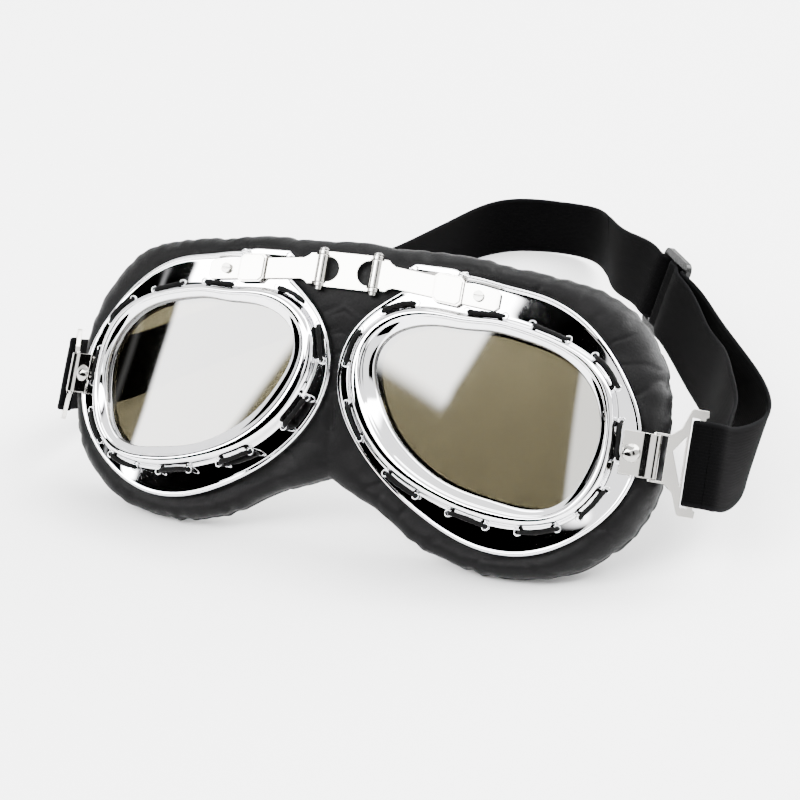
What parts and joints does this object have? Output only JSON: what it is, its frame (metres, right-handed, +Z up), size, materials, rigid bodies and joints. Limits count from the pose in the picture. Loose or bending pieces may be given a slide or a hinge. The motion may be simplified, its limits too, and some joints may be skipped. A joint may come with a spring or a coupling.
{
  "type": "motorcycle goggles",
  "caption": "Folding-bridge riding goggles with chromed eye frames, curved tinted lenses, laced padded mask, side buckles and an adjustable elastic strap.",
  "frame": {"origin": "middle of the footprint, on the table the goggles rest on", "axes": "+Z up, +Y from the lenses back along the strap loop, +X towards the wearer's left, the side with the slider"},
  "size_m": [0.2382, 0.2544, 0.0875],
  "materials": {
    "chromed_frame": "mirror polish",
    "lens_glass": "dark tinted, polished",
    "seal_rubber": "matte",
    "retainer_plastic": "matte",
    "lace_cord": "matte",
    "pad_leather": "soft grained synthetic leather",
    "liner_foam": "soft matte",
    "plated_steel": "bright plated",
    "nickel_plate": "bright nickel",
    "strap_webbing": "woven elastic",
    "slider_plastic": "semi-gloss"
  },
  "bodies": {
    "bridge": {"bridge_link": "nickel_plate", "hinge_pin_right": "plated_steel", "hinge_pin_left": "plated_steel", "nose_pad": "pad_leather", "strap_outer": "strap_webbing", "strap_rear": "strap_webbing", "strap_left": "strap_webbing", "strap_inner": "strap_webbing"},
    "right_unit": {"eye_frame_right": "chromed_frame", "lens_right": "lens_glass", "lens_gasket_right": "seal_rubber", "lens_retainer_right": "retainer_plastic", "lacing_right": "lace_cord", "pad_right": "pad_leather", "face_liner_right": "liner_foam", "bridge_arm_right": "nickel_plate", "arm_keeper_right": "nickel_plate", "arm_screw_right": "plated_steel", "arm_nut_right": "plated_steel", "temple_tab_right": "nickel_plate", "tab_rivet_right": "plated_steel", "rivet_washer_right": "plated_steel"},
    "right_buckle": {"buckle_right": "nickel_plate", "strap_loop_right": "strap_webbing"},
    "left_unit": {"eye_frame_left": "chromed_frame", "lens_left": "lens_glass", "lens_gasket_left": "seal_rubber", "lens_retainer_left": "retainer_plastic", "lacing_left": "lace_cord", "pad_left": "pad_leather", "face_liner_left": "liner_foam", "bridge_arm_left": "nickel_plate", "arm_keeper_left": "nickel_plate", "arm_screw_left": "plated_steel", "arm_nut_left": "plated_steel", "temple_tab_left": "nickel_plate", "tab_rivet_left": "plated_steel", "rivet_washer_left": "plated_steel"},
    "left_buckle": {"buckle_left": "nickel_plate", "strap_loop_left": "strap_webbing"},
    "slider_body": {"slider": "slider_plastic", "slider_fold": "strap_webbing"}
  },
  "joints": [
    {"name": "right_hinge", "type": "hinge", "parent": "bridge", "child": "right_unit", "pos_m": [0.0028, -0.08932, 0.0811], "axis": [0, 0.5736, 0.8192], "range_deg": [-5, 8], "stiffness_Nm_per_rad": 1.2, "deforming": ["nose_pad", "strap_outer", "strap_inner"]},
    {"name": "left_hinge", "type": "hinge", "parent": "bridge", "child": "left_unit", "pos_m": [-0.0152, -0.08932, 0.0811], "axis": [0, -0.5736, -0.8192], "range_deg": [-5, 8], "stiffness_Nm_per_rad": 1.2, "deforming": ["nose_pad", "strap_left"]},
    {"name": "right_buckle_pivot", "type": "hinge", "parent": "right_unit", "child": "right_buckle", "pos_m": [0.09208, -0.10196, 0.03905], "axis": [0, 0.5736, 0.8192], "range_deg": [-25, 35], "stiffness_Nm_per_rad": 0.05, "deforming": ["strap_outer", "strap_inner"]},
    {"name": "left_buckle_pivot", "type": "hinge", "parent": "left_unit", "child": "left_buckle", "pos_m": [-0.10448, -0.10196, 0.03905], "axis": [0, -0.5736, -0.8192], "range_deg": [-58, 2], "stiffness_Nm_per_rad": 0.05, "deforming": ["strap_left"]},
    {"name": "slider_slide", "type": "slide", "parent": "bridge", "child": "slider_body", "axis": [0.5885, -0.8079, -0.0299], "range_m": [-0.008, 0.008], "deforming": ["strap_outer", "strap_rear", "strap_inner"]}
  ]
}
